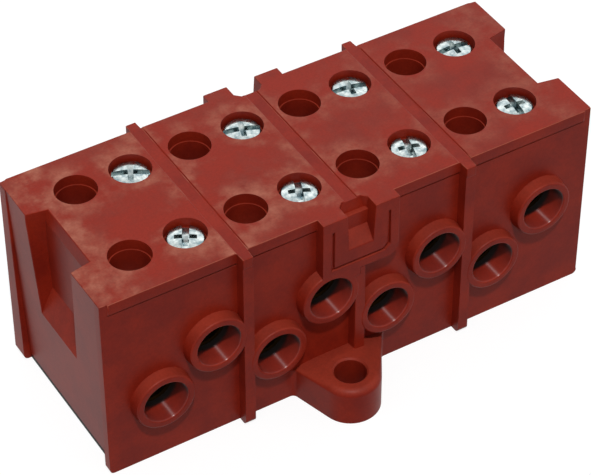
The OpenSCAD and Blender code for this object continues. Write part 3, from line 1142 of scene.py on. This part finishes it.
@dataclass
class Studio:
    """Pale floor, white surroundings, one key lamp and a weak lamp behind the strip."""

    floor_size_m: float = 6.0
    white: str = "#ffffff"
    floor_lighting: str = "#767676"
    floor_shown: str = "#8e8e8e"
    floor_glow: float = 0.78
    ambient: float = 0.45
    key_strength: float = 1.82
    key_towards: Point = (-0.18, -0.43, 0.9)
    key_softness_deg: float = 3.5
    fill_strength: float = 0.5
    fill_towards: Point = (0.5, 0.75, 0.45)
    fill_softness_deg: float = 60.0
    hole_margin: float = 1.0
    mounts: list[dict] = field(default_factory=list)

    def build(self) -> None:
        """Builds the floor, the world and the lamps."""
        self._floor()
        self._world()
        self._lamp("key", self.key_strength, self.key_towards, self.key_softness_deg)
        self._lamp("fill", self.fill_strength, self.fill_towards, self.fill_softness_deg)
        bpy.context.scene.view_settings.view_transform = "Standard"

    @staticmethod
    def _seen_directly(tree: bpy.types.NodeTree) -> Socket:
        """1 for the rays that show the surroundings themselves, or their reflection."""
        path = add_node(tree, "ShaderNodeLightPath")
        known = {
            "seen": path.outputs["Is Camera Ray"],
            "mirrored": path.outputs["Is Glossy Ray"],
            "refracted": path.outputs["Is Transmission Ray"],
        }
        steps: list[Step] = [
            ("straight", "MAXIMUM", "seen", "mirrored"),
            ("shown", "MAXIMUM", "straight", "refracted"),
        ]
        return worked_out(tree, known, steps)["shown"]

    def _floor(self) -> None:
        """Plain floor: white to the eye and in reflections, with a light shadow."""
        half = self.floor_size_m / 2
        shape = bmesh.new()
        corners = [(-half, -half), (half, -half), (half, half), (-half, half)]
        shape.faces.new([shape.verts.new((x, y, 0.0)) for x, y in corners])
        floor = mesh_object("studio_floor", mesh_from("studio_floor", shape))
        material = bpy.data.materials.new("matt_white_paper")
        material.use_nodes = True
        tree = material.node_tree
        tree.nodes.clear()
        paper = add_node(
            tree, "ShaderNodeBsdfDiffuse", Color=linear(self.floor_lighting)
        )
        glow = add_node(
            tree,
            "ShaderNodeEmission",
            Color=linear(self.white),
            Strength=self._glow_outside_footprint(tree),
        )
        shadowed = add_node(
            tree, "ShaderNodeBsdfDiffuse", Color=linear(self.floor_shown)
        )
        seen = add_node(
            tree,
            "ShaderNodeAddShader",
            in_0=shadowed.outputs["BSDF"],
            in_1=glow.outputs["Emission"],
        )
        mixed = add_node(
            tree,
            "ShaderNodeMixShader",
            in_0=self._seen_directly(tree),
            in_1=paper.outputs["BSDF"],
            in_2=seen.outputs["Shader"],
        )
        add_node(tree, "ShaderNodeOutputMaterial", Surface=mixed.outputs["Shader"])
        floor.data.materials.append(material)

    def _glow_outside_footprint(self, tree: bpy.types.NodeTree) -> Socket:
        """Strength of the floor's glow, taken to 0 under the strip and in its bolt holes as
        painted shade.
        """
        place = add_node(tree, "ShaderNodeTexCoord").outputs["Object"]
        axes = add_node(tree, "ShaderNodeSeparateXYZ", Vector=place)
        known = {"x": axes.outputs["X"], "y": axes.outputs["Y"]}
        half_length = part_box("base")[1].x
        steps: list[Step] = [
            ("in_length", "COMPARE", "x", 0.0, half_length),
            ("in_width", "COMPARE", "y", 0.0, to_m(LAYOUT.face_y)),
            ("covered", "MULTIPLY", "in_length", "in_width"),
        ]
        for mount in self.mounts:
            name = mount["name"]
            if not name.endswith("lug_hole"):
                continue
            centre = (mount["pos_m"][0], mount["pos_m"][1], 0.0)
            distance = add_node(
                tree,
                "ShaderNodeVectorMath",
                operation="DISTANCE",
                in_0=place,
                in_1=centre,
            )
            known[name] = distance.outputs["Value"]
            radius = to_m(mount["dims"]["r_mm"] + self.hole_margin)
            steps += [
                ("in_hole", "LESS_THAN", name, radius),
                ("covered", "MAXIMUM", "covered", "in_hole"),
            ]
        # Painted shade: the floor's glow is taken away under the strip and inside its bolt
        # holes.
        glow = add_node(
            tree,
            "ShaderNodeMapRange",
            Value=worked_out(tree, known, steps)["covered"],
            To_Min=self.floor_glow,
            To_Max=0.0,
        )
        return glow.outputs["Result"]

    def _world(self) -> None:
        """Surroundings that are white to see and light the strip only a little."""
        world = bpy.data.worlds.new("studio")
        bpy.context.scene.world = world
        world.use_nodes = True
        tree = world.node_tree
        tree.nodes.clear()
        dim, white = (
            add_node(
                tree, "ShaderNodeBackground", Color=linear(self.white), Strength=strength
            )
            for strength in (self.ambient, 1.0)
        )
        mixed = add_node(
            tree,
            "ShaderNodeMixShader",
            in_0=self._seen_directly(tree),
            in_1=dim.outputs["Background"],
            in_2=white.outputs["Background"],
        )
        add_node(tree, "ShaderNodeOutputWorld", Surface=mixed.outputs["Shader"])

    @staticmethod
    def _lamp(name: str, strength: float, towards: Point, softness_deg: float) -> None:
        """Adds a distant lamp.

        Args:
            name: The lamp's name.
            strength: Light on a surface that faces it, in watts per square metre.
            towards: Direction from the strip to the lamp.
            softness_deg: How wide the lamp looks from the strip.
        """
        data = bpy.data.lights.new(name, "SUN")
        data.energy = strength
        data.angle = math.radians(softness_deg)
        lamp = bpy.data.objects.new(name, data)
        lamp.rotation_euler = Vector(towards).to_track_quat("Z", "Y").to_euler()
        bpy.context.scene.collection.objects.link(lamp)


@dataclass
class StudioCamera:
    """Long lens, high on the front left of the strip."""

    azimuth_deg: float = 30.451
    elevation_deg: float = 42.264
    roll_deg: float = 0.606
    place_mm: Point = (-196.157, -323.959, 363.709)
    lens_mm: float = 158.22
    sensor_mm: float = 36.0
    shift: tuple[float, float] = (0.0354, 0.0006)
    clip_start_m: float = 0.01

    def build(self) -> None:
        """Builds the camera and makes it the scene's own."""
        azimuth = math.radians(self.azimuth_deg)
        elevation = math.radians(self.elevation_deg)
        forward = Vector(
            (
                math.sin(azimuth) * math.cos(elevation),
                math.cos(azimuth) * math.cos(elevation),
                -math.sin(elevation),
            )
        )
        level = forward.cross(Vector((0, 0, 1))).normalized()
        down = forward.cross(level)
        roll = math.radians(self.roll_deg)
        right = math.cos(roll) * level + math.sin(roll) * down
        up = math.sin(roll) * level - math.cos(roll) * down
        data = bpy.data.cameras.new("studio_camera")
        data.sensor_fit = "HORIZONTAL"
        data.sensor_width = self.sensor_mm
        data.lens = self.lens_mm
        data.shift_x, data.shift_y = self.shift
        data.clip_start = self.clip_start_m
        camera = bpy.data.objects.new("studio_camera", data)
        turned = Matrix((right, up, -forward)).transposed().to_4x4()
        camera.matrix_world = (
            Matrix.Translation([to_m(value) for value in self.place_mm]) @ turned
        )
        bpy.context.scene.collection.objects.link(camera)
        bpy.context.scene.camera = camera


def main() -> None:
    """Builds the strip's looks and its studio."""
    logging.basicConfig(level=logging.INFO, format="%(name)s: %(message)s")
    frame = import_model()
    StudioCamera().build()
    Studio(mounts=frame["record"]["mounts"]).build()
    HousingShell().build(frame["nodes"]["housing"])
    ScrewSet().build()
    CarriedSolids().dress(frame["nodes"])


if __name__ == "__main__":
    main()
